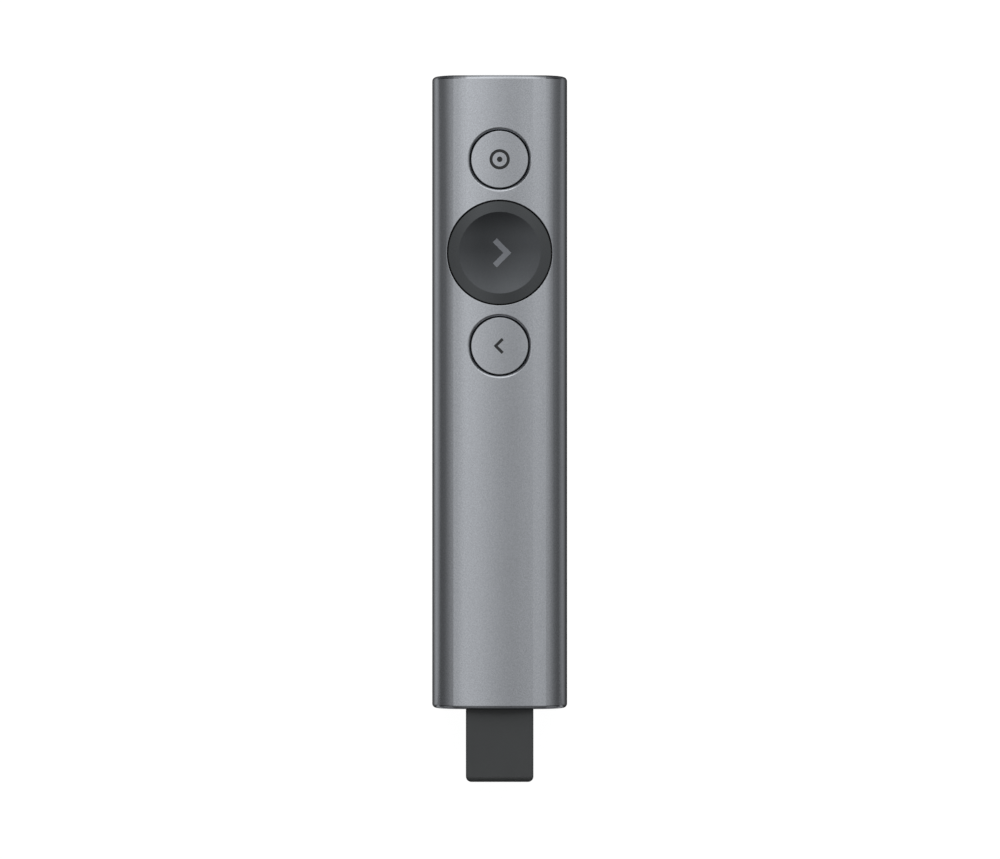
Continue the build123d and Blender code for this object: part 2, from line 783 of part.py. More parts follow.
def battery_cell():
    """The flat lithium pouch with its protection board."""
    pouch = block(
        around(0, battery_width),
        (battery_tail_end, battery_nose_end),
        (battery_bottom, battery_top),
    )
    pouch = fillet(pouch.edges().filter_by(Axis.Y), battery_fillet)
    width, _, height = battery_guard_size
    guard = block(
        around(0, width),
        (battery_nose_end, guard_nose_end),
        around(battery_middle_z, height),
    )
    return pouch + guard


def lead_xs():
    """The two battery leads, side by side."""
    return (lead_x - lead_half_pitch, lead_x + lead_half_pitch)


def battery_leads():
    """Two wires from the protection board up to the plug."""
    rise = socket_middle_z - battery_middle_z
    leads = []
    for x in lead_xs():
        points = [
            (x, guard_nose_end, battery_middle_z),
            (x, guard_nose_end + lead_bend, battery_middle_z),
            (x, guard_nose_end + lead_bend + 1.5 * rise, socket_middle_z),
            (x, plug_tail_end, socket_middle_z),
        ]
        leads.append(wire(points, lead_bend, lead_radius))
    return leads


def battery_socket():
    """The battery's connector on the main board, open towards the tail."""
    width, length, height = socket_size
    socket = block(
        around(lead_x, width),
        (socket_tail_end, socket_tail_end + length),
        (board_top, board_top + height),
    )
    room = block(
        around(lead_x, width - 2 * socket_wall),
        (socket_tail_end, socket_tail_end + socket_depth),
        (board_top + socket_floor, board_top + height - socket_floor),
    )
    return socket - room


def battery_plug():
    """The plug on the battery leads, pushed into its socket."""
    width, _, height = socket_size
    x_span = around(lead_x, width - 2 * (socket_wall + plug_gap))
    y_span = (plug_tail_end, socket_tail_end + socket_depth - plug_gap)
    z_span = around(socket_middle_z, height - 2 * (socket_floor + plug_gap))
    return block(x_span, y_span, z_span)


# ---------------------------------------------------------------- vibration motor
def vibration_motor():
    """The small cylindrical motor, bored for its shaft."""
    can = rod(motor_radius, motor_tail_end, motor_nose_end, 0, motor_z)
    bore_start = motor_nose_end - motor_shaft_grip - motor_shaft_gap
    return can - rod(motor_shaft_radius + motor_shaft_gap, bore_start, motor_nose_end, 0, motor_z)


def motor_boot():
    """The rubber sleeve around the motor."""
    span = (motor_tail_end + motor_boot_margin, motor_nose_end - motor_boot_margin)
    return rod(motor_radius + motor_boot_sheet, *span, 0, motor_z) - rod(motor_radius, *span, 0, motor_z)


def motor_shaft():
    """The motor's shaft."""
    start = motor_nose_end - motor_shaft_grip
    return rod(motor_shaft_radius, start, start + motor_shaft_length, 0, motor_z)


def motor_weight():
    """The half-round weight on the shaft, heavy side down."""
    span = (weight_start, weight_start + weight_length)
    half = rod(weight_radius, *span, 0, motor_z)
    half &= block(around(0, 2 * weight_radius), span, (motor_z - weight_radius, motor_z))
    weight = half + rod(weight_hub_radius, *span, 0, motor_z)
    return weight - rod(motor_shaft_radius, *span, 0, motor_z)


def motor_leads():
    """Two wires from the back of the motor, around its boot and forward to the main board."""
    z = board_top + motor_wire_radius
    leads = []
    for side in (-1, 1):
        points = [
            (side * motor_wire_start_x, motor_tail_end, z),
            (side * motor_wire_start_x, motor_tail_end - motor_wire_back, z),
            (side * motor_wire_x, motor_tail_end - motor_wire_back, z),
            (side * motor_wire_x, motor_wire_end, z),
        ]
        leads.append(wire(points, motor_wire_bend, motor_wire_radius))
    return leads


# ---------------------------------------------------------------- tail board and charging port
def charge_board():
    """The small board under the dock that carries the charging port."""
    z_span = (floor_top, tail_board_top)
    narrow = (-tail_board_half_width, tail_board_half_width)
    wide = (-tail_board_wide_half_width, tail_board_wide_half_width)
    board = block(narrow, (-chassis_half_length, tail_board_nose_end), z_span)
    board += block(wide, (tail_board_wide_start, tail_board_nose_end), z_span)
    notch = around(0, port_width + 2 * port_cut_gap)
    board -= block(notch, (-half_length, port_back + port_cut_gap), z_span)
    for x in (-tail_screw_x, tail_screw_x):
        board -= disc(small_screw_radius + screw_clearance, *z_span, x, tail_screw_y)
    return board


def charge_board_parts():
    """The charger chip and its coil on the tail board."""
    chip_x, chip_y, chip_z = charger_chip_size
    coil_x, coil_y, coil_z = coil_size
    chip_middle = (tail_board_wide_start + tail_board_nose_end) / 2
    coil_middle = (port_back + tail_board_wide_start) / 2
    chip_top = tail_board_top + chip_z
    chip = block(around(0, chip_x), around(chip_middle, chip_y), (tail_board_top, chip_top))
    coil_top = tail_board_top + coil_z
    coil = block(around(0, coil_x), around(coil_middle, coil_y), (tail_board_top, coil_top))
    return [chip, coil]


def charge_board_screws():
    """Two short screws from the tail board into the chassis floor."""
    head = (small_head_radius, small_head_height)
    screws = []
    for x in (-tail_screw_x, tail_screw_x):
        place = (x, tail_screw_y, tail_board_top)
        screws.append(cross_head_screw(*place, head, small_screw_radius, chassis_bottom, False))
    return screws


def usb_c_shell():
    """The metal shell of the charging port, held by two wings on the tail board."""
    outer = SlotOverall(port_width, port_height)
    inner = SlotOverall(port_width - 2 * port_sheet, port_height - 2 * port_sheet)
    shell = along_y(Pos(0, port_z) * (outer - inner), port_front, port_back)
    wing_start = port_width / 2 - port_sheet / 2
    wing_end = port_width / 2 + port_wing_reach
    wing_y = around((tail_cap_y + port_back) / 2, port_wing_length)
    for side in (-1, 1):
        x_span = sorted((side * wing_start, side * wing_end))
        shell += block(x_span, wing_y, (tail_board_top, tail_board_top + port_sheet))
    return shell


def usb_c_tongue():
    """The insulator at the back of the charging port, with the tongue that stands in it."""
    room = SlotOverall(port_width - 2 * port_sheet, port_height - 2 * port_sheet)
    base = along_y(Pos(0, port_z) * room, port_back - port_base_length, port_back)
    tongue = block(
        around(0, port_tongue_width),
        (port_front + port_tongue_set_back, port_back - port_base_length),
        around(port_z, port_tongue_height),
    )
    return base + tongue


def board_flex():
    """The flat flex that joins the tail board to the main board over the battery."""
    low = tail_board_top + flex_thickness / 2
    high = max(battery_top, board_top + flex_hop) + flex_thickness / 2
    end = board_top + flex_thickness / 2
    points = [
        (flex_x, tail_board_nose_end - flex_pad_length, low),
        (flex_x, tail_board_nose_end - flex_bend, low),
        (flex_x, tail_board_nose_end - flex_bend + flex_climb, high),
        (flex_x, board_tail_end - flex_bend, high),
        (flex_x, board_tail_end - flex_bend + flex_climb, end),
        (flex_x, board_tail_end + flex_climb + flex_pad_length, end),
    ]
    path = FilletPolyline(*points, radius=flex_bend)
    start = Plane(origin=path @ 0, x_dir=(1, 0, 0), z_dir=path % 0)
    return sweep(start * Rectangle(flex_width, flex_thickness), path)


# ---------------------------------------------------------------- dock
def dock_places():
    """Where the dock's ears are screwed to the chassis pillars."""
    return [(x, y) for y in dock_screw_ys for x in (-dock_screw_x, dock_screw_x)]


def spring_xs():
    """The two contact springs on the dock's roof."""
    return (-dock_spring_half_pitch, dock_spring_half_pitch)


def dock_sleeve():
    """The sheet-metal sleeve that takes the receiver's plug."""
    y_span = (tail_cap_y, dock_nose_end)
    outer = block(around(0, 2 * dock_half_width), y_span, (dock_bottom, dock_top))
    room = block(
        around(0, 2 * (dock_half_width - dock_sheet)),
        (tail_cap_y, dock_nose_end - dock_sheet),
        around(dock_z, dock_inner_height),
    )
    sleeve = outer - room
    slot_width = dock_spring_width + 2 * dock_spring_slot_gap
    slot_start = tail_cap_y + dock_spring_from_front
    slot_y = (slot_start, slot_start + dock_spring_length)
    for x in spring_xs():
        sleeve -= block(around(x, slot_width), slot_y, (dock_z, dock_top))
    for x, y in dock_places():
        side = 1 if x > 0 else -1
        x_span = sorted((side * dock_half_width, side * (dock_half_width + dock_ear_reach)))
        z_span = (dock_bottom, dock_bottom + dock_ear_thickness)
        sleeve += block(x_span, around(y, dock_ear_length), z_span)
        sleeve -= disc(small_screw_radius + bond_gap, *z_span, x, y)
    return sleeve


def dock_springs():
    """Two leaf springs in the dock's roof that hold the plug."""
    slot_start = tail_cap_y + dock_spring_from_front
    low = dock_z + usb_plug_height / 2 + dock_spring_lift
    z_span = (low, low + dock_spring_sheet)
    y_span = (slot_start, slot_start + dock_spring_length)
    return [block(around(x, dock_spring_width), y_span, z_span) for x in spring_xs()]


def dock_screws():
    """Four short screws through the dock's ears into the chassis."""
    head = (small_head_radius, small_head_height)
    seat = dock_bottom + dock_ear_thickness
    places = [(x, y, seat) for x, y in dock_places()]
    return [cross_head_screw(*p, head, small_screw_radius, floor_top, False) for p in places]


# ---------------------------------------------------------------- receiver
def receiver_plug_shell():
    """The receiver's USB plug shell, open at the tip, with its four latch windows."""
    y_span = (shell_tail_end, plug_tip_y)
    outer = block(around(0, usb_plug_width), y_span, around(dock_z, usb_plug_height))
    room_x = around(0, usb_plug_width - 2 * usb_sheet)
    shell = outer - block(room_x, y_span, around(dock_z, usb_plug_height - 2 * usb_sheet))
    window_y = around(plug_tip_y - usb_window_from_tip, usb_window)
    for x in (-usb_window_half_pitch, usb_window_half_pitch):
        shell -= block(around(x, usb_window), window_y, around(dock_z, 2 * usb_plug_height))
    return shell


def receiver_insulator():
    """The plastic tongue inside the plug, with the block that closes the shell's tail."""
    width = usb_plug_width - 2 * (usb_sheet + bond_gap)
    tongue = block(
        around(0, width), (grip_root_y, plug_tip_y - bond_gap), (tongue_bottom, tongue_top)
    )
    height = usb_plug_height - 2 * (usb_sheet + bond_gap)
    plug = block(around(0, width), (tongue_tail_end, grip_root_y), around(dock_z, height))
    return tongue + plug


def receiver_contacts():
    """Four plated contacts on the tongue."""
    y_high = plug_tip_y - 2 * usb_sheet
    y_span = (y_high - usb_contact_length, y_high)
    z_span = (tongue_top, tongue_top + usb_contact_thickness)
    places = [(step - 1.5) * usb_contact_pitch for step in range(4)]
    return [block(around(x, usb_contact_width), y_span, z_span) for x in places]


def receiver_board():
    """The receiver's circuit board, inside the grip."""
    width, length, thickness = grip_board_size
    y_span = (tongue_tail_end - length, tongue_tail_end)
    return block(around(0, width), y_span, around(dock_z, thickness))


def receiver_chip():
    """The receiver's radio chip on its board."""
    width, length, height = radio_key_chip_size
    board_surface = dock_z + grip_board_size[2] / 2
    y = tongue_tail_end - grip_board_size[1] / 2
    return block(around(0, width), around(y, length), (board_surface, board_surface + height))


def receiver_grip():
    """The tab that stays outside the body, rounded on all its outer edges."""
    grip = block(
        around(0, grip_width), (grip_end_y, grip_root_y), around(dock_z, grip_height)
    )
    grip = fillet(grip.edges().filter_by(Axis.Y), grip_long_fillet)
    grip = fillet(grip.faces().sort_by(Axis.Y)[0].edges(), grip_end_fillet)
    grip = fillet(grip.faces().sort_by(Axis.Y)[-1].edges(), grip_root_fillet)
    socket = block(
        around(0, usb_plug_width + 2 * bond_gap),
        (shell_tail_end - bond_gap, grip_root_y),
        around(dock_z, usb_plug_height + 2 * bond_gap),
    )
    width, length, _ = grip_board_size
    pocket = block(
        around(0, width + 2 * grip_pocket_gap),
        (tongue_tail_end - length - grip_pocket_gap, grip_root_y),
        around(dock_z, grip_pocket_height),
    )
    return grip - socket - pocket


# ---------------------------------------------------------------- writing the parts
def all_parts():
    """Every node by name: one solid each, or a list of like solids."""
    parts = {
        "tube_housing": tube_housing(),
        "nose_cap": nose_cap(),
        "tail_cap": tail_cap(),
        "chassis": chassis(),
        "main_board": main_board(),
        "main_chips": main_chips(),
        "shield_can": shield_can(),
        "board_passives": board_passives(),
        "chip_antenna": chip_antenna(),
        "tact_switches": tact_switches(),
        "keymat": keymat(),
        "button_frame": button_frame(),
        "stack_screws": stack_screws(),
        "battery_foam": battery_foam(),
        "battery_cell": battery_cell(),
        "battery_leads": battery_leads(),
        "battery_plug": battery_plug(),
        "battery_socket": battery_socket(),
        "vibration_motor": vibration_motor(),
        "motor_boot": motor_boot(),
        "motor_shaft": motor_shaft(),
        "motor_weight": motor_weight(),
        "motor_leads": motor_leads(),
        "charge_board": charge_board(),
        "charge_board_parts": charge_board_parts(),
        "charge_board_screws": charge_board_screws(),
        "usb_c_shell": usb_c_shell(),
        "usb_c_tongue": usb_c_tongue(),
        "board_flex": board_flex(),
        "dock_sleeve": dock_sleeve(),
        "dock_springs": dock_springs(),
        "dock_screws": dock_screws(),
        "receiver_plug_shell": receiver_plug_shell(),
        "receiver_insulator": receiver_insulator(),
        "receiver_contacts": receiver_contacts(),
        "receiver_board": receiver_board(),
        "receiver_chip": receiver_chip(),
        "receiver_grip": receiver_grip(),
    }
    for name in button_ys:
        cap, mark = next_cap() if name == "next" else small_cap(name)
        parts[f"{name}_cap"] = cap
        parts[f"{name}_icon"] = mark
        parts[f"{name}_carrier"] = next_carrier() if name == "next" else small_carrier(name)
        parts[f"{name}_key_post"] = key_post(name)
        parts[f"{name}_plunger"] = switch_plunger(name)
        parts[f"{name}_dome"] = switch_dome(name)
    return parts


def main():
    """Write one STEP file for each node."""
    os.makedirs("parts", exist_ok=True)
    for name, part in all_parts().items():
        shape = Compound(children=part) if isinstance(part, list) else part
        export_step(shape, f"parts/{name}.step")


main()
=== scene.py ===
import math
import bpy
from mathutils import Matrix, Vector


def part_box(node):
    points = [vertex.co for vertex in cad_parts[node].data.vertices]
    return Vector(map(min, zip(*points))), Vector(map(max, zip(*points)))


# A slim aluminium presentation clicker that lies on a white table, seen from straight above. The
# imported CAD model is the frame, and this script gives it its finishes, its light and its camera.

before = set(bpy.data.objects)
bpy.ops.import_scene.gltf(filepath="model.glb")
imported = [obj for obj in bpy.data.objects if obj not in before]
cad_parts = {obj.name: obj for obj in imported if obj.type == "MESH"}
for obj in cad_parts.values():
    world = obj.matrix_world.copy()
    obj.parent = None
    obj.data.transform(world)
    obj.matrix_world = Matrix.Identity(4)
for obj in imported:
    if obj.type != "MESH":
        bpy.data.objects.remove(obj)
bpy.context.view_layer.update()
MM = 0.001

# ---------------------------------------------------------------- camera
SENSOR = 36.0  # mm
LENS = 135.0  # mm
CAMERA_HEIGHT = 787.6 * MM  # above the table
CAMERA_X = 0.07 * MM
CAMERA_Y = -7.73 * MM
CAMERA_REACH = 10.0  # m, how far it sees

# ---------------------------------------------------------------- light tent
# Brightness by direction, as (degrees from straight up, level). Across is towards +X and along is
# towards +Y, and the two levels are multiplied.
ACROSS = (
    (-90, 0.30),
    (-80, 0.26),
    (-68, 0.29),
    (-50, 0.46),
    (-38, 0.65),
    (-27, 0.90),
    (-20, 1.03),
    (-15, 1.24),
    (-10, 1.54),
    (-5, 1.11),
    (0, 0.87),
    (5, 0.61),
    (10, 1.08),
    (15, 1.15),
    (20, 1.06),
    (32, 1.02),
    (45, 0.69),
    (60, 0.45),
    (70, 0.33),
    (82, 0.27),
    (90, 0.30),
)
ALONG = (
    (-90, 0.12),
    (-76, 0.13),
    (-68, 0.34),
    (-61, 0.42),
    (-52, 0.18),
    (-40, 0.16),
    (-30, 0.20),
    (-20, 0.38),
    (-12, 0.76),
    (-8, 1.06),
    (-4, 1.04),
    (0, 0.84),
    (3, 1.15),
    (6, 1.27),
    (10, 1.45),
    (15, 1.74),
    (20, 2.25),
    (26, 2.70),
    (34, 2.30),
    (50, 1.80),
    (70, 1.45),
    (90, 1.28),
)
# The tent's sides also grow brighter from the tail to the nose.
SIDE_EDGE = (18, 32)  # degrees across, where the middle goes over into the sides
SIDE_RISE = (-12, 12)  # degrees along, between which they grow brighter
SIDE_SHARE = (0.57, 1.29)  # how bright they are there, as a share of the two levels
# A low light on each side of the tail fills what would be black when seen from the nose.
TAIL_FILL = 0.55  # level
TAIL_FILL_ACROSS = (28, 46)  # degrees across, between which it starts
TAIL_FILL_ALONG = (-26, -40)  # degrees along, between which it starts
TAIL_FILL_END = (-60, -74)  # degrees along, between which it ends
# The light over the nose is narrow. Past its edge its share falls, and under 0 it leaves a shade.
NOSE_LIGHT_MIDDLE = 3  # degrees across
NOSE_LIGHT_EDGE = (5, 26)  # degrees from its middle, between which it ends
NOSE_LIGHT_START = (6, 12)  # degrees along, between which its share past the edge changes
NOSE_LIGHT_SHARES = (0.42, -0.6)  # its share past the edge, before and after that start
# One broad lamp over the nose lights the dull surfaces. Gloss sees only the tent and the painted
# shade and light on the table.
LAMP_LEAN = 62  # degrees from straight up, towards the nose
LAMP_SPREAD = 44  # degrees
LAMP_LEVEL = 0.65  # how bright it makes a plain white surface that faces up

# ---------------------------------------------------------------- table
TABLE_RADIUS = 3.0  # m
TABLE_SIDES = 96
TABLE_WHITE = 0.8
TABLE_GLOW = 0.94  # share of plain white that the camera sees, the rest keeps the shadow
TABLE_GLOW_LEVEL = 1.05  # over plain white, so that only the shadow close to the part shows
# Painted shade and light that gloss sees on the table, as (millimetres from the body's middle line,
# level):
# a painted shadow, dark close to the body, and painted light, brighter away from it.
PAINTED_SHADE_BESIDE_BODY = (
    (-130, 0.38),
    (-67, 0.49),
    (-48, 0.57),
    (-38, 0.63),
    (-30, 0.65),
    (-26, 0.55),
    (-23.5, 0.39),
    (-21.8, 0.25),
    (-20, 0.16),
    (-16.5, 0.09),
    (-14, 0.04),
    (14, 0.01),
    (17, 0.02),
    (19.2, 0.07),
    (21.8, 0.15),
    (23.5, 0.21),
    (26, 0.30),
    (30, 0.40),
    (38, 0.45),
    (48, 0.42),
    (67, 0.38),
    (130, 0.32),
)
BODY_END = 65.65  # mm from the part's middle to each end of its body
END_BLEND = 5.0  # mm, one step of the blends past the two ends
PAINTED_LIGHT_BEFORE_NOSE = 1.1  # painted light before the nose, as a level
PAINTED_SHADE_BEFORE_NOSE_CORNERS = 0.12  # painted shade before its corners, as a level
BEFORE_NOSE_HALF_WIDTH = (6.5, 12.5)  # mm aside, between which one goes over into the other
PAINTED_SHADE_BEHIND_TAIL = (  # (mm behind the body's end, level): painted shade just behind the tail, and painted light beside the tab
    (0, 0.06),
    (5, 0.03),
    (8, 0.55),
    (17, 0.55),
    (22, 0.10),
    (40, 0.10),
)

# ---------------------------------------------------------------- places on the part, in mm
DISH_RADIUS = 8.45
DISH_EDGE = (DISH_RADIUS - 0.05, DISH_RADIUS + 0.05)  # where its finish turns into the ring's
SMALL_HOLE_RADIUS = 6.05
NEXT_HOLE_RADIUS = 10.9
RIM_WIDTH = 0.6  # of the polish around each hole
END_FILLET = 0.8  # of the body's ends
TAPE_LENGTH = 4.0  # over the battery's sealed end
TAPE_EDGE = 0.1  # the width of the blend from foil to tape
ANTENNA_END = 0.45  # the reach of bare tin from each end
TIN_EDGE = 0.03  # the width of the blend from tin to ceramic
WIRE_EDGE = 0.02  # half the width of the blend from one wire's colour to the other's


# ---------------------------------------------------------------- node helpers
def node(tree, kind, inputs=None, **settings):
    """Adds a node. An input given as a socket is linked, and any other value is set."""
    made = tree.nodes.new("ShaderNode" + kind)
    for name, value in settings.items():
        setattr(made, name, value)
    for name, value in (inputs or {}).items():
        if isinstance(value, bpy.types.NodeSocket):
            tree.links.new(value, made.inputs[name])
        else:
            made.inputs[name].default_value = value
    return made


def calc(tree, operation, first, second=0.0):
    """A Math node's result."""
    return node(tree, "Math", {0: first, 1: second}, operation=operation).outputs[0]


def remap(tree, value, old_low, old_high, new_low, new_high, smooth=False):
    """A value moved from one span to another, and kept inside the new one."""
    inputs = {
        "Value": value,
        "From Min": old_low,
        "From Max": old_high,
        "To Min": new_low,
        "To Max": new_high,
    }
    kind = "SMOOTHSTEP" if smooth else "LINEAR"
    return node(tree, "MapRange", inputs, interpolation_type=kind).outputs["Result"]


def between(tree, factor, first, second):
    """A number between two others."""
    return node(tree, "Mix", {0: factor, 2: first, 3: second}, data_type="FLOAT").outputs[0]


def blend(tree, factor, first, second):
    """A colour between two others."""
    mix = node(tree, "Mix", {0: factor}, data_type="RGBA")
    for socket, colour in ((6, first), (7, second)):
        if isinstance(colour, bpy.types.NodeSocket):
            tree.links.new(colour, mix.inputs[socket])
        else:
            mix.inputs[socket].default_value = (*colour, 1.0)
    return mix.outputs[2]


def on_part(tree, scale_mm, stretch=(1, 1, 1), turn=(0, 0, 0)):
    """The surface point in the part, in units of scale_mm, stretched and turned."""
    where = node(tree, "TexCoord").outputs["Object"]
    scale = tuple(share / (scale_mm * MM) for share in stretch)
    return node(tree, "Mapping", {"Vector": where, "Rotation": turn, "Scale": scale}).outputs[0]


GRAIN_TURN = (0.61, 0.37, 0.83)  # keeps the noise's own lattice off the part's axes
NOISE_SPAN = (0.3, 0.7)  # where nearly all of a noise's values lie


def noise(tree, size_mm, seed, detail=2.0, roughness=0.5, stretch=(1, 1, 1), turn=GRAIN_TURN):
    """Noise whose features are about size_mm across, fixed to the part."""
    inputs = {
        "Vector": on_part(tree, size_mm, stretch, turn),
        "W": seed,
        "Scale": 1.0,
        "Detail": detail,
        "Roughness": roughness,
    }
    return node(tree, "TexNoise", inputs, noise_dimensions="4D").outputs[0]


def cells(tree, size_mm, seed, feature="F1"):
    """Distance to the nearest of many scattered points about size_mm apart."""
    inputs = {"Vector": on_part(tree, size_mm, turn=GRAIN_TURN), "W": seed, "Scale": 1.0}
    made = node(tree, "TexVoronoi", inputs, voronoi_dimensions="4D", feature=feature)
    return made.outputs["Distance"]


def bump(tree, height, depth_mm, below=None):
    """A normal from a height between 0 and 1, on top of the normal of another bump."""
    inputs = {"Height": height, "Distance": depth_mm * MM, "Strength": 1.0}
    if below:
        inputs["Normal"] = below
    return node(tree, "Bump", inputs).outputs[0]


def part_axis(tree, axis):
    """One coordinate of the surface point in the part, in millimetres."""
    where = node(tree, "TexCoord").outputs["Object"]
    return calc(tree, "DIVIDE", node(tree, "SeparateXYZ", {0: where}).outputs[axis], MM)


LEVEL_NORMAL = (0.55, 0.75)  # a normal's Z, between which a surface turns from upright to level


def facing_up(tree):
    """1 where the surface faces straight up or down, 0 on its upright sides."""
    normal = node(tree, "TexCoord").outputs["Normal"]
    rise = calc(tree, "ABSOLUTE", node(tree, "SeparateXYZ", {0: normal}).outputs["Z"])
    return remap(tree, rise, *LEVEL_NORMAL, 0.0, 1.0)


def from_button_axis(tree, name):
    """Distance, in millimetres, from the upright axis of a button, given by its cap's node."""
    x = part_axis(tree, "X")
    y = calc(tree, "SUBTRACT", part_axis(tree, "Y"), middle_y(name))
    squares = [calc(tree, "POWER", place, 2.0) for place in (x, y)]
    return calc(tree, "SQRT", calc(tree, "ADD", *squares))


def spread(tree, pattern, low, high):
    """A number that follows a noise from one end to the other."""
    return remap(tree, pattern, *NOISE_SPAN, low, high)


def material(name, fill, **fixed):
    """A new Principled material. fill(tree) gives the linked inputs, and fixed are plain values."""
    made = bpy.data.materials.new(name)
    made.use_nodes = True
    tree = made.node_tree
    shader = tree.nodes["Principled BSDF"]
    for socket, value in fixed.items():
        shader.inputs[socket.replace("_", " ")].default_value = value
    for socket, value in fill(tree).items():
        tree.links.new(value, shader.inputs[socket])
    return made


def shade(colour, factor):
    """A colour made darker or lighter."""
    return tuple(channel * factor for channel in colour)


def tinted(tree, pattern, colour, low, high):
    """A colour that a pattern makes darker and lighter, between two factors."""
    return blend(tree, pattern, shade(colour, low), shade(colour, high))


def middle_y(name):
    """Where the middle of a CAD node lies along the part, in millimetres."""
    low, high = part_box(name)
    return (low[1] + high[1]) / 2 / MM


# ---------------------------------------------------------------- outer finishes
ANODISED = (0.362, 0.378, 0.404)
POLISH_TONE = 0.2  # how much lighter, as a share of the grain's span, handling has made it
POLISH_GLOSS = 0.04  # how much less rough
WORN_SPAN = (0.35, 0.7)  # of the noise that breaks the polish up
WORN_LEAST = 0.35  # the share of the polish that is left where it is broken up most


def blasted(tree, seed, polished=None):
    """The inputs of bead-blasted, anodised metal: a fine grain, and drift in colour and gloss."""
    fine = noise(tree, 0.11, detail=1.0, seed=seed)
    grain = spread(tree, noise(tree, 0.27, detail=2.0, seed=seed + 3), 0.0, 1.0)
    drift = noise(tree, 14.0, detail=3.0, seed=seed + 7)
    tone = between(tree, 0.1, grain, drift)
    roughness = spread(tree, drift, 0.19, 0.215)
    if polished:
        tone = calc(tree, "ADD", tone, calc(tree, "MULTIPLY", polished, POLISH_TONE))
        gloss = calc(tree, "MULTIPLY", polished, POLISH_GLOSS)
        roughness = calc(tree, "SUBTRACT", roughness, gloss)
    return {
        "Base Color": tinted(tree, tone, ANODISED, 0.89, 1.11),
        "Roughness": roughness,
        "Normal": bump(tree, grain, 0.0022, bump(tree, fine, 0.0012)),
    }


def rim_polish(tree, seed):
    """Where handling has polished the tube: the rims of the three holes and the rounded ends."""
    masks = []
    for name, radius in (
        ("pointer_cap", SMALL_HOLE_RADIUS),
        ("next_cap", NEXT_HOLE_RADIUS),
        ("back_cap", SMALL_HOLE_RADIUS),
    ):
        away = calc(tree, "SUBTRACT", from_button_axis(tree, name), radius)
        masks.append(remap(tree, away, 0.0, RIM_WIDTH, 1.0, 0.0))
    from_middle = calc(tree, "ABSOLUTE", part_axis(tree, "Y"))
    masks.append(remap(tree, from_middle, BODY_END - END_FILLET, BODY_END, 0.0, 1.0))
    mask = masks[0]
    for other in masks[1:]:
        mask = calc(tree, "MAXIMUM", mask, other)
    worn = remap(tree, noise(tree, 1.7, detail=4.0, seed=seed), *WORN_SPAN, WORN_LEAST, 1.0)
    return calc(tree, "MULTIPLY", mask, worn)


def tube_aluminium(name, seed):
    """The tube's finish, a little lighter and glossier along its edges."""
    def fill(tree):
        return blasted(tree, seed, rim_polish(tree, seed + 9))
    return material(name, fill, Metallic=1.0)


def cap_aluminium(name, seed):
    """The small caps: the tube's finish without its worn edges."""
    def fill(tree):
        return blasted(tree, seed)
    return material(name, fill, Metallic=1.0)


BLACK_DISH = (0.0575, 0.0610, 0.0650)
BLACK_RING = (0.063, 0.067, 0.070)
RING_ROUGHNESS = 0.24
RUB_GLOSS = 0.02  # how much less rough fingers have made the dish's middle


def black_aluminium(name, seed):
    """The large cap: black anodised, with a satin ring around a dish that fingers have rubbed."""
    def fill(tree):
        fine = noise(tree, 0.13, detail=1.0, seed=seed)
        grain = noise(tree, 0.3, detail=2.0, seed=seed + 3)
        drift = noise(tree, 5.0, detail=3.0, seed=seed + 7)
        from_middle = from_button_axis(tree, "next_cap")
        ring = remap(tree, from_middle, *DISH_EDGE, 0.0, 1.0)
        rubbed = remap(tree, from_middle, 0.0, DISH_RADIUS, 1.0, 0.0, smooth=True)
        tone = between(tree, 0.3, grain, drift)
        dish = tinted(tree, tone, BLACK_DISH, 0.86, 1.14)
        satin = tinted(tree, grain, BLACK_RING, 0.97, 1.03)
        gloss = calc(tree, "MULTIPLY", rubbed, RUB_GLOSS)
        dish_roughness = calc(tree, "SUBTRACT", spread(tree, drift, 0.19, 0.22), gloss)
        return {
            "Base Color": blend(tree, ring, dish, satin),
            "Roughness": between(tree, ring, dish_roughness, RING_ROUGHNESS),
            "Normal": bump(tree, grain, 0.0035, bump(tree, fine, 0.0015)),
        }
    return material(name, fill, Metallic=1.0)


def moulded_plastic(name, colour, seed, roughness, grain_mm=0.14, depth_mm=0.004, **fixed):
    """Moulded plastic: a fine etched texture, faint flow marks and some drift in its gloss."""
    def fill(tree):
        fine = noise(tree, grain_mm, detail=1.5, seed=seed)
        drift = noise(tree, 6.0, detail=3.0, seed=seed + 5)
        flow = noise(tree, 2.5, detail=2.0, stretch=(1, 0.25, 1), seed=seed + 8)
        tone = between(tree, 0.3, drift, fine)
        return {
            "Base Color": tinted(tree, tone, colour, 0.88, 1.12),
            "Roughness": spread(tree, drift, roughness - 0.03, roughness + 0.03),
            "Normal": bump(tree, flow, depth_mm / 2, bump(tree, fine, depth_mm)),
        }
    return material(name, fill, **fixed)


def ink(name, colour, seed):
    """A thin inlay of lacquer."""
    def fill(tree):
        drift = noise(tree, 0.8, detail=2.0, seed=seed)
        return {
            "Base Color": tinted(tree, drift, colour, 0.94, 1.06),
            "Roughness": spread(tree, drift, 0.48, 0.56),
            "Normal": bump(tree, noise(tree, 0.1, seed=seed + 1), 0.001),
        }
    return material(name, fill, Specular_IOR_Level=0.3)


# ---------------------------------------------------------------- inner finishes
STEEL = (0.60, 0.60, 0.59)
NICKEL = (0.66, 0.64, 0.60)
TIN = (0.62, 0.62, 0.60)
ZINC = (0.56, 0.57, 0.58)
GOLD = (0.95, 0.66, 0.28)
TUNGSTEN = (0.34, 0.34, 0.35)
FOIL = (0.66, 0.67, 0.68)


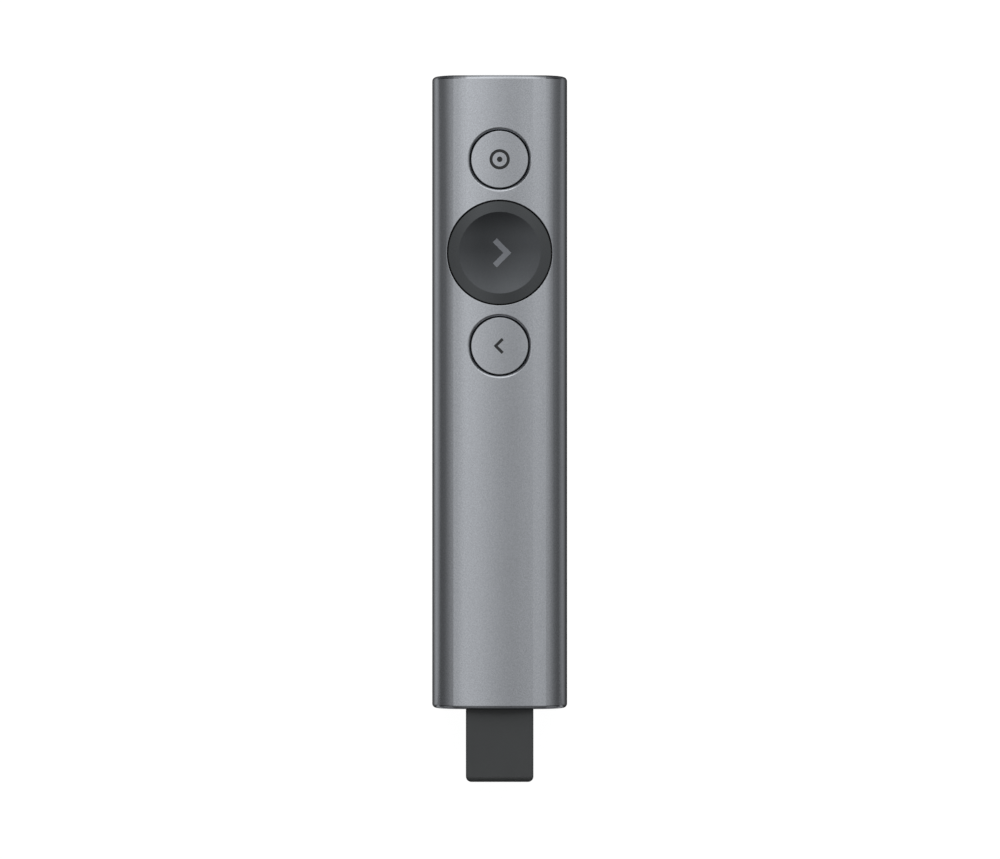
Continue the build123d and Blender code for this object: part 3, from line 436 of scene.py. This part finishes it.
def worked_metal(
    name, colour, seed, roughness, stretch=(1, 1, 1), grain_mm=0.1, depth_mm=0.002
):
    """Bare or plated metal: a grain drawn out along its working direction, and faint stains."""
    def fill(tree):
        grain = noise(tree, grain_mm, detail=3.0, stretch=stretch, seed=seed, turn=(0, 0, 0.02))
        stain = noise(tree, 2.2, detail=4.0, roughness=0.6, seed=seed + 4)
        tone = between(tree, 0.5, grain, stain)
        return {
            "Base Color": tinted(tree, tone, colour, 0.84, 1.1),
            "Roughness": spread(tree, tone, roughness - 0.06, roughness + 0.08),
            "Normal": bump(tree, grain, depth_mm),
        }
    return material(name, fill, Metallic=1.0)


SOLDER_MASK = (0.012, 0.075, 0.040)
MASK_OVER_COPPER = (0.030, 0.140, 0.070)
LAMINATE = (0.42, 0.36, 0.20)
LAMINATE_ROUGHNESS = 0.75
TRACK_REACH = 0.11  # from a track's middle line to its edge, in units of track_mm
VIA_SPACING = 1.9  # mm
VIA_EDGE = (0.10, 0.13)  # from a via's middle, in units of that spacing


def circuit_board(name, seed, track_mm=1.5):
    """Green solder mask over copper tracks and plated vias, and bare laminate at the cut edges."""
    def fill(tree):
        bricks = {
            "Vector": on_part(tree, track_mm),
            "Scale": 1.0,
            "Mortar Size": TRACK_REACH,
            "Mortar Smooth": 0.2,
        }
        tracks = node(tree, "TexBrick", bricks, offset=0.37, squash=1.6).outputs["Fac"]
        vias = remap(tree, cells(tree, VIA_SPACING, seed=seed), *VIA_EDGE, 1.0, 0.0)
        weave = noise(tree, 0.18, stretch=(1, 1, 6), seed=seed)
        level = facing_up(tree)
        masked = blend(tree, tracks, SOLDER_MASK, MASK_OVER_COPPER)
        masked = blend(tree, vias, masked, shade(TIN, 0.6))
        edge = tinted(tree, weave, LAMINATE, 0.8, 1.15)
        gloss = between(tree, weave, 0.26, 0.34)
        return {
            "Base Color": blend(tree, level, edge, masked),
            "Roughness": between(tree, level, LAMINATE_ROUGHNESS, gloss),
            "Normal": bump(tree, calc(tree, "MAXIMUM", tracks, vias), 0.02),
        }
    return material(name, fill)


EPOXY_BLACK = (0.012, 0.012, 0.013)
EPOXY_GREY = (0.040, 0.040, 0.041)


def chip_epoxy(name, seed):
    """Moulded epoxy: near black, with the fine speckle of its filler."""
    def fill(tree):
        speckle = cells(tree, 0.09, seed=seed)
        cloud = noise(tree, 1.5, detail=3.0, seed=seed + 2)
        tone = between(tree, 0.5, speckle, cloud)
        return {
            "Base Color": blend(tree, tone, EPOXY_BLACK, EPOXY_GREY),
            "Roughness": spread(tree, cloud, 0.48, 0.60),
            "Normal": bump(tree, speckle, 0.006),
        }
    return material(name, fill)


CERAMIC_BROWN = (0.36, 0.25, 0.15)
CERAMIC_WHITE = (0.74, 0.75, 0.77)


def fired_ceramic(name, colour, seed, end_axis=None, ends=()):
    """Ceramic, finely crazed. Ends lists spans of bare tin along an axis, as (middle, reach)."""
    def fill(tree):
        craze = cells(tree, 0.22, feature="DISTANCE_TO_EDGE", seed=seed)
        cloud = noise(tree, 0.7, detail=3.0, seed=seed + 2)
        body = tinted(tree, cloud, colour, 0.82, 1.12)
        made = {
            "Roughness": spread(tree, cloud, 0.30, 0.42),
            "Normal": bump(tree, remap(tree, craze, 0.0, 0.1, 0.0, 1.0), 0.003),
        }
        if not ends:
            return {"Base Color": body, **made}
        place = part_axis(tree, end_axis)
        bare = None
        for middle, reach in ends:
            away = calc(tree, "ABSOLUTE", calc(tree, "SUBTRACT", place, middle))
            mask = remap(tree, away, reach, reach + TIN_EDGE, 1.0, 0.0)
            bare = calc(tree, "MAXIMUM", bare, mask) if bare else mask
        tin = tinted(tree, cloud, TIN, 0.85, 1.05)
        return {"Base Color": blend(tree, bare, body, tin), "Metallic": bare, **made}
    return material(name, fill)


def silicone(name, colour, seed):
    """Translucent silicone rubber with a dusty, slightly uneven skin."""
    def fill(tree):
        dust = noise(tree, 0.12, detail=2.0, seed=seed)
        cloud = noise(tree, 3.0, detail=3.0, seed=seed + 2)
        return {
            "Base Color": tinted(tree, cloud, colour, 0.88, 1.08),
            "Roughness": spread(tree, dust, 0.50, 0.66),
            "Normal": bump(tree, dust, 0.006),
        }
    return material(name, fill, Subsurface_Weight=0.25, Subsurface_Scale=0.6 * MM)


def closed_foam(name, colour, seed):
    """Closed-cell foam: small round cells under a matt skin."""
    def fill(tree):
        bubbles = cells(tree, 0.25, seed=seed)
        cloud = noise(tree, 2.0, detail=3.0, seed=seed + 2)
        return {
            "Base Color": tinted(tree, bubbles, colour, 0.7, 1.3),
            "Roughness": spread(tree, cloud, 0.82, 0.92),
            "Normal": bump(tree, bubbles, 0.05),
        }
    return material(name, fill)


TAPE_DARK = (0.42, 0.17, 0.015)
TAPE_LIGHT = (0.60, 0.27, 0.03)


def foil_pouch(name, seed):
    """The battery's laminated foil, softly creased, with an amber tape over its sealed end."""
    def fill(tree):
        crease = noise(tree, 3.2, detail=4.0, roughness=0.55, seed=seed)
        fine = noise(tree, 0.3, detail=2.0, seed=seed + 3)
        along = part_axis(tree, "Y")
        tape_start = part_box("battery_cell")[1][1] / MM - TAPE_LENGTH
        tape = remap(tree, along, tape_start, tape_start + TAPE_EDGE, 0.0, 1.0)
        metal = tinted(tree, fine, FOIL, 0.9, 1.06)
        amber = blend(tree, crease, TAPE_DARK, TAPE_LIGHT)
        return {
            "Base Color": blend(tree, tape, metal, amber),
            "Metallic": between(tree, tape, 0.9, 0.0),
            "Roughness": spread(tree, crease, 0.28, 0.42),
            "Normal": bump(tree, crease, 0.12, bump(tree, fine, 0.004)),
        }
    return material(name, fill)


def wire_pair(name, first, second, split_x, seed):
    """Two insulated wires of different colours, told apart by the side they lie on."""
    def fill(tree):
        skin = noise(tree, 0.2, detail=2.0, stretch=(1, 0.3, 1), seed=seed)
        place = part_axis(tree, "X")
        side = remap(tree, place, split_x - WIRE_EDGE, split_x + WIRE_EDGE, 0.0, 1.0)
        left = tinted(tree, skin, first, 0.85, 1.15)
        right = tinted(tree, skin, second, 0.85, 1.15)
        return {
            "Base Color": blend(tree, side, left, right),
            "Roughness": spread(tree, skin, 0.38, 0.50),
            "Normal": bump(tree, skin, 0.006),
        }
    return material(name, fill)


FILM_DARK = (0.36, 0.15, 0.02)
FILM_LIGHT = (0.50, 0.22, 0.035)
COPPER_DARK = (0.62, 0.30, 0.10)
COPPER_LIGHT = (0.74, 0.38, 0.14)
FLEX_CONDUCTORS = 6
CONDUCTOR_EDGE = (0.22, 0.28)  # from a conductor's middle, as shares of their pitch


def flat_flex(name, seed):
    """Amber polyimide film with copper conductors along it."""
    def fill(tree):
        low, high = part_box("board_flex")
        place = calc(tree, "SUBTRACT", part_axis(tree, "X"), low[0] / MM)
        pitch = (high[0] - low[0]) / MM / FLEX_CONDUCTORS
        phase = calc(tree, "FRACT", calc(tree, "DIVIDE", place, pitch))
        away = calc(tree, "ABSOLUTE", calc(tree, "SUBTRACT", phase, 0.5))
        conductor = remap(tree, away, *CONDUCTOR_EDGE, 1.0, 0.0)
        cloud = noise(tree, 0.8, detail=3.0, seed=seed)
        film = blend(tree, cloud, FILM_DARK, FILM_LIGHT)
        copper = blend(tree, cloud, COPPER_DARK, COPPER_LIGHT)
        return {
            "Base Color": blend(tree, conductor, film, copper),
            "Roughness": spread(tree, cloud, 0.22, 0.32),
            "Normal": bump(tree, conductor, 0.01),
        }
    return material(name, fill)


# ---------------------------------------------------------------- which node gets which finish
NYLON_BLACK = (0.030, 0.030, 0.032)
CASE_BLACK = (0.022, 0.022, 0.024)
NATURAL_NYLON = (0.62, 0.59, 0.50)
CHARCOAL = (0.042, 0.044, 0.045)
DARK_INK = (0.016, 0.017, 0.018)
GREY_INK = (0.121, 0.128, 0.141)
KEY_GREY = (0.42, 0.43, 0.44)
SOFT_BLACK = (0.035, 0.035, 0.036)
WIRE_RED = (0.40, 0.012, 0.010)
WIRE_BLACK = (0.018, 0.018, 0.019)
WIRE_BLUE = (0.012, 0.06, 0.30)
# How a metal's grain is drawn out, as its density along each axis.
ALONG_X = (0.12, 1, 1)
ALONG_Y = (1, 0.08, 1)
AROUND_Y = (1, 6, 1)
ALONG_SCREW = (1, 1, 0.3)


def outer_finishes():
    """What can be seen from outside."""
    return {
        "tube_housing": tube_aluminium("blasted aluminium tube", 0.0),
        "pointer_cap": cap_aluminium("blasted aluminium pointer cap", 11.0),
        "back_cap": cap_aluminium("blasted aluminium back cap", 23.0),
        "next_cap": black_aluminium("black anodised aluminium", 31.0),
        "receiver_grip": moulded_plastic(
            "charcoal receiver plastic", CHARCOAL, 41.0, 0.5, Specular_IOR_Level=0.12
        ),
        "pointer_icon": ink("dark ink pointer", DARK_INK, 51.0),
        "back_icon": ink("dark ink back", DARK_INK, 53.0),
        "next_icon": ink("grey ink next", GREY_INK, 55.0),
        "nose_cap": moulded_plastic("black end cap nose", CASE_BLACK, 57.0, 0.48),
        "tail_cap": moulded_plastic("black end cap tail", CASE_BLACK, 59.0, 0.48),
        "usb_c_shell": worked_metal("nickel port shell", NICKEL, 61.0, 0.26, ALONG_Y),
        "usb_c_tongue": moulded_plastic("black port tongue", NYLON_BLACK, 63.0, 0.4),
        "receiver_plug_shell": worked_metal("nickel plug shell", NICKEL, 65.0, 0.24, ALONG_Y),
        "receiver_insulator": moulded_plastic("black plug insulator", NYLON_BLACK, 67.0, 0.38),
        "receiver_contacts": worked_metal(
            "gold contacts", GOLD, 69.0, 0.24, ALONG_Y, grain_mm=0.06, depth_mm=0.001
        ),
        "dock_sleeve": worked_metal(
            "nickel dock sleeve", shade(NICKEL, 0.9), 71.0, 0.32, ALONG_Y
        ),
        "dock_springs": worked_metal("dock spring steel", STEEL, 73.0, 0.26, ALONG_Y),
    }


def electronics_finishes():
    """The boards and what is soldered to them."""
    low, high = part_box("chip_antenna")
    antenna_ends = [(place / MM, ANTENNA_END) for place in (low[0], high[0])]
    return {
        "main_board": circuit_board("main board mask", 101.0),
        "charge_board": circuit_board("charge board mask", 103.0, 1.2),
        "receiver_board": circuit_board("receiver board mask", 105.0, 1.0),
        "main_chips": chip_epoxy("chip epoxy main", 107.0),
        "receiver_chip": chip_epoxy("chip epoxy receiver", 109.0),
        "charge_board_parts": chip_epoxy("chip epoxy charger", 111.0),
        "shield_can": worked_metal("tinned shield", TIN, 113.0, 0.34, ALONG_X, grain_mm=0.12),
        "board_passives": fired_ceramic("ceramic passives", CERAMIC_BROWN, 115.0),
        "chip_antenna": fired_ceramic(
            "ceramic antenna", CERAMIC_WHITE, 117.0, "X", antenna_ends
        ),
        "tact_switches": moulded_plastic("black switch bodies", NYLON_BLACK, 119.0, 0.45),
        "board_flex": flat_flex("polyimide flex", 121.0),
        "battery_socket": moulded_plastic("natural nylon socket", NATURAL_NYLON, 123.0, 0.4),
        "battery_plug": moulded_plastic(
            "natural nylon plug", shade(NATURAL_NYLON, 1.1), 125.0, 0.4
        ),
    }


def inner_finishes():
    """The mechanical pieces inside the tube."""
    low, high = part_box("battery_leads")
    lead_split = (low[0] + high[0]) / 2 / MM
    return {
        "chassis": moulded_plastic(
            "glass filled nylon chassis", shade(NYLON_BLACK, 1.3), 201.0, 0.55,
            grain_mm=0.2, depth_mm=0.01,
        ),
        "button_frame": moulded_plastic(
            "button frame plastic", shade(NYLON_BLACK, 1.5), 203.0, 0.5
        ),
        "keymat": silicone("grey silicone key mat", KEY_GREY, 205.0),
        "motor_boot": silicone("black silicone boot", SOFT_BLACK, 207.0),
        "stack_screws": worked_metal("zinc stack screws", ZINC, 209.0, 0.32, ALONG_SCREW),
        "dock_screws": worked_metal("zinc dock screws", ZINC, 211.0, 0.32, ALONG_SCREW),
        "charge_board_screws": worked_metal("zinc board screws", ZINC, 213.0, 0.32, ALONG_SCREW),
        "battery_cell": foil_pouch("battery foil", 215.0),
        "battery_foam": closed_foam("black foam tape", SOFT_BLACK, 217.0),
        "battery_leads": wire_pair("battery wires", WIRE_RED, WIRE_BLACK, lead_split, 219.0),
        "motor_leads": wire_pair("motor wires", WIRE_RED, WIRE_BLUE, 0.0, 221.0),
        "vibration_motor": worked_metal("drawn motor can", STEEL, 223.0, 0.28, ALONG_Y),
        "motor_shaft": worked_metal(
            "ground shaft", shade(STEEL, 1.05), 225.0, 0.18, AROUND_Y, grain_mm=0.05, depth_mm=0.001
        ),
        "motor_weight": worked_metal(
            "sintered tungsten", TUNGSTEN, 227.0, 0.42, grain_mm=0.09, depth_mm=0.006
        ),
    }


def button_finishes():
    """The pieces that each button has under its cap."""
    made = {}
    for number, button in enumerate(("pointer", "next", "back")):
        seed = 301.0 + 20 * number
        made[f"{button}_carrier"] = moulded_plastic(
            f"carrier plastic {button}", shade(NYLON_BLACK, 1.2), seed, 0.5
        )
        made[f"{button}_key_post"] = silicone(f"grey silicone key {button}", KEY_GREY, seed + 3)
        made[f"{button}_plunger"] = moulded_plastic(
            f"plunger nylon {button}", NATURAL_NYLON, seed + 6, 0.4
        )
        made[f"{button}_dome"] = worked_metal(
            f"dome steel {button}", STEEL, seed + 9, 0.22, grain_mm=0.08, depth_mm=0.001
        )
    return made


def dress_all():
    """Gives each CAD node its finish."""
    finishes = {
        **outer_finishes(),
        **electronics_finishes(),
        **inner_finishes(),
        **button_finishes(),
    }
    for name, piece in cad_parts.items():
        for slot in piece.material_slots:
            slot.material = finishes[name]


# ---------------------------------------------------------------- studio
def level_ramp(tree, place, stops):
    """The level for a place, read from a listed ramp of (place, level)."""
    low, high = stops[0][0], stops[-1][0]
    peak = max(level for _, level in stops)
    ramp = node(tree, "ValToRGB", {0: remap(tree, place, low, high, 0.0, 1.0)})
    ramp.color_ramp.interpolation = "LINEAR"
    elements = ramp.color_ramp.elements
    while len(elements) < len(stops):
        elements.new(0.5)
    for element, (where, level) in zip(elements, stops):
        element.position = (where - low) / (high - low)
        element.color = (level / peak, level / peak, level / peak, 1.0)
    return calc(tree, "MULTIPLY", ramp.outputs[0], peak)


def nose_light(tree, lean, rise):
    """The level along the part, with its bright end kept narrow."""
    along = level_ramp(tree, rise, ALONG)
    aside = calc(tree, "ABSOLUTE", calc(tree, "SUBTRACT", lean, NOSE_LIGHT_MIDDLE))
    past_edge = remap(tree, rise, *NOSE_LIGHT_START, *NOSE_LIGHT_SHARES)
    share = remap(tree, aside, *NOSE_LIGHT_EDGE, 1.0, past_edge, smooth=True)
    extra = calc(tree, "MULTIPLY", calc(tree, "SUBTRACT", along, 1.0), share)
    return calc(tree, "MINIMUM", along, calc(tree, "ADD", 1.0, extra))


def tail_fill(tree, leaning, rise):
    """The low light on each side of the tail."""
    starts_across = remap(tree, leaning, *TAIL_FILL_ACROSS, 0.0, 1.0, smooth=True)
    starts_along = remap(tree, rise, *TAIL_FILL_ALONG, 0.0, TAIL_FILL, smooth=True)
    ends_along = remap(tree, rise, *TAIL_FILL_END, 1.0, 0.0, smooth=True)
    return calc(tree, "MULTIPLY", calc(tree, "MULTIPLY", starts_across, starts_along), ends_along)


def light_tent():
    """The world: a soft tent of light, brighter over the part and its nose, dim at its sides."""
    world = bpy.data.worlds.new("light tent")
    bpy.context.scene.world = world
    world.use_nodes = True
    tree = world.node_tree
    tree.nodes.clear()
    direction = node(tree, "TexCoord").outputs["Generated"]
    x, y, z = node(tree, "SeparateXYZ", {0: direction}).outputs
    lean = calc(tree, "DEGREES", calc(tree, "ARCTAN2", x, z))
    rise = calc(tree, "DEGREES", calc(tree, "ARCSINE", y))
    leaning = calc(tree, "ABSOLUTE", lean)
    side = remap(tree, leaning, *SIDE_EDGE, 0.0, 1.0, smooth=True)
    side_share = between(tree, side, 1.0, remap(tree, rise, *SIDE_RISE, *SIDE_SHARE))
    across = calc(tree, "MULTIPLY", level_ramp(tree, lean, ACROSS), side_share)
    overhead = calc(tree, "MULTIPLY", across, nose_light(tree, lean, rise))
    tent = calc(tree, "MAXIMUM", overhead, tail_fill(tree, leaning, rise))
    rays = node(tree, "LightPath").outputs
    strength = between(tree, rays["Is Camera Ray"], tent, 1.0)
    background = node(tree, "Background", {"Strength": strength})
    node(tree, "OutputWorld", {0: background.outputs[0]})


def lamp():
    """The broad lamp over the nose."""
    data = bpy.data.lights.new("nose lamp", "SUN")
    data.angle = math.radians(LAMP_SPREAD)
    data.energy = math.pi * LAMP_LEVEL / math.cos(math.radians(LAMP_LEAN))
    made = bpy.data.objects.new("nose lamp", data)
    made.rotation_euler = (-math.radians(LAMP_LEAN), 0.0, 0.0)
    made.visible_glossy = False
    bpy.context.scene.collection.objects.link(made)


def painted_table_in_gloss(tree):
    """How bright metal sees the table: painted shade, dark close to the body and tail, and painted
    light before the nose.
    """
    x, y = part_axis(tree, "X"), part_axis(tree, "Y")
    painted_beside_body = level_ramp(tree, x, PAINTED_SHADE_BESIDE_BODY)
    ahead = remap(tree, y, BODY_END + END_BLEND, BODY_END + 3 * END_BLEND, 0.0, 1.0, smooth=True)
    near = remap(tree, calc(tree, "ABSOLUTE", x), *BEFORE_NOSE_HALF_WIDTH, 1.0, 0.0, smooth=True)
    behind = remap(tree, y, -BODY_END, -BODY_END - END_BLEND, 0.0, 1.0, smooth=True)
    # painted light before the nose, and painted shade before its corners
    before = between(tree, near, PAINTED_SHADE_BEFORE_NOSE_CORNERS, PAINTED_LIGHT_BEFORE_NOSE)
    painted_behind_tail = level_ramp(tree, calc(tree, "SUBTRACT", -BODY_END, y), PAINTED_SHADE_BEHIND_TAIL)
    return between(tree, behind, between(tree, ahead, painted_beside_body, before), painted_behind_tail)


def table_top():
    """A wide, round white table. The camera sees it plain white but for a faint shadow."""
    bpy.ops.mesh.primitive_circle_add(vertices=TABLE_SIDES, radius=TABLE_RADIUS, fill_type="NGON")
    table = bpy.context.object
    table.name = "table"
    made = bpy.data.materials.new("white table")
    made.use_nodes = True
    tree = made.node_tree
    tree.nodes.clear()
    rays = node(tree, "LightPath").outputs
    seen = calc(tree, "MAXIMUM", rays["Is Camera Ray"], rays["Is Transmission Ray"])
    # gloss sees the table only as a glow of painted shade and light, not as lit paper
    glow = calc(tree, "MAXIMUM", calc(tree, "MULTIPLY", seen, TABLE_GLOW), rays["Is Glossy Ray"])
    strength = between(tree, rays["Is Glossy Ray"], TABLE_GLOW_LEVEL, painted_table_in_gloss(tree))
    white = (TABLE_WHITE, TABLE_WHITE, TABLE_WHITE, 1.0)
    paper = node(tree, "BsdfDiffuse", {"Color": white})
    plain_white = node(tree, "Emission", {"Strength": strength})
    mixed = node(tree, "MixShader", {0: glow, 1: paper.outputs[0], 2: plain_white.outputs[0]})
    node(tree, "OutputMaterial", {0: mixed.outputs[0]})
    table.data.materials.append(made)


def camera():
    """A long lens that looks straight down, with the nose up in the picture."""
    data = bpy.data.cameras.new("camera")
    data.lens = LENS
    data.sensor_width = SENSOR
    data.clip_end = CAMERA_REACH
    made = bpy.data.objects.new("camera", data)
    bpy.context.scene.collection.objects.link(made)
    made.location = (CAMERA_X, CAMERA_Y, CAMERA_HEIGHT)
    bpy.context.scene.camera = made


camera()
dress_all()
light_tent()
lamp()
table_top()
bpy.context.scene.view_settings.view_transform = "Standard"
